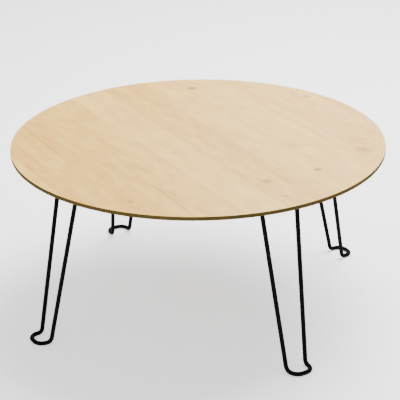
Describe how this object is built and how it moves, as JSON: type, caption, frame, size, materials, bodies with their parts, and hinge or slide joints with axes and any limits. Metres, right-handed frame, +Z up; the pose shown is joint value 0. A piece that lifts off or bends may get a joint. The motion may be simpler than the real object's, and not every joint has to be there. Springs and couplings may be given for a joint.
{
  "type": "folding camping table",
  "caption": "Low round folding table with a thin wood-grain board, a dark edge band and splayed bent-wire legs that fold inward under the board.",
  "frame": {"origin": "on the floor under the middle of the board", "axes": "+Z up, legs on the diagonals between the X and Y axes, front towards -Y"},
  "size_m": [0.6, 0.6, 0.281],
  "materials": {
    "wood_laminate": "satin printed wood grain",
    "fibreboard": "raw fibreboard",
    "backing": "matt paper backing",
    "edge_band": "satin dark olive brown",
    "bracket_paint": "satin black paint",
    "wire_paint": "satin black paint",
    "zinc": "zinc plated"
  },
  "bodies": {
    "tabletop": {"top_laminate": "wood_laminate", "core_board": "fibreboard", "backing_sheet": "backing", "edge_band": "edge_band", "bracket_front_left": "bracket_paint", "bracket_front_right": "bracket_paint", "bracket_back_right": "bracket_paint", "bracket_back_left": "bracket_paint", "screw_front_left_1": "zinc", "screw_front_left_2": "zinc", "screw_front_left_3": "zinc", "screw_front_left_4": "zinc", "screw_front_right_1": "zinc", "screw_front_right_2": "zinc", "screw_front_right_3": "zinc", "screw_front_right_4": "zinc", "screw_back_right_1": "zinc", "screw_back_right_2": "zinc", "screw_back_right_3": "zinc", "screw_back_right_4": "zinc", "screw_back_left_1": "zinc", "screw_back_left_2": "zinc", "screw_back_left_3": "zinc", "screw_back_left_4": "zinc"},
    "front_left_leg": {"leg_front_left": "wire_paint"},
    "front_right_leg": {"leg_front_right": "wire_paint"},
    "back_right_leg": {"leg_back_right": "wire_paint"},
    "back_left_leg": {"leg_back_left": "wire_paint"}
  },
  "joints": [
    {"name": "front_left_fold", "type": "hinge", "parent": "tabletop", "child": "front_left_leg", "pos_m": [-0.16334, -0.16334, 0.263], "axis": [0.7071, -0.7071, 0], "range_deg": [0, 103.5]},
    {"name": "front_right_fold", "type": "hinge", "parent": "tabletop", "child": "front_right_leg", "pos_m": [0.16334, -0.16334, 0.263], "axis": [0.7071, 0.7071, 0], "range_deg": [0, 101.25]},
    {"name": "back_right_fold", "type": "hinge", "parent": "tabletop", "child": "back_right_leg", "pos_m": [0.16334, 0.16334, 0.263], "axis": [-0.7071, 0.7071, 0], "range_deg": [0, 98.25]},
    {"name": "back_left_fold", "type": "hinge", "parent": "tabletop", "child": "back_left_leg", "pos_m": [-0.16334, 0.16334, 0.263], "axis": [-0.7071, -0.7071, 0], "range_deg": [0, 95]}
  ]
}
